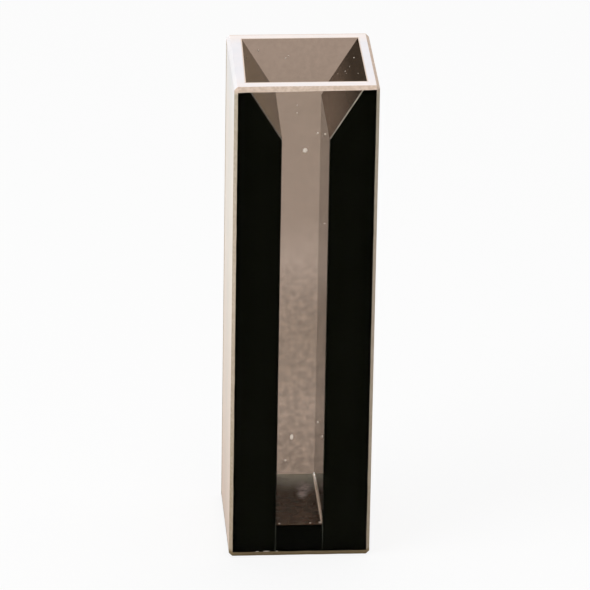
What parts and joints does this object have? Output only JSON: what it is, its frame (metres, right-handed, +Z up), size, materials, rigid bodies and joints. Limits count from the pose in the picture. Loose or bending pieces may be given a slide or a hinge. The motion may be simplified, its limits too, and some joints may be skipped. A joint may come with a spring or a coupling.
{
  "type": "cuvette",
  "caption": "Semi-micro cuvette: clear front and rear windows fused over black side walls that slope into a funnel at the open mouth, on a black base, with ground outer edges.",
  "frame": {"origin": "middle of the underside", "axes": "+Z up towards the open mouth, -Y out of the front window along the light path, +X to the right wall"},
  "size_m": [0.0126, 0.0126, 0.045],
  "materials": {
    "clear_window": "polished faces, ground edges",
    "shaded_window": "polished faces, ground edges",
    "black_glass": "polished inside, ground outside"
  },
  "bodies": {
    "root": {"front_window": "clear_window", "rear_window": "shaded_window", "left_wall": "black_glass", "right_wall": "black_glass", "base": "black_glass"}
  },
  "joints": []
}
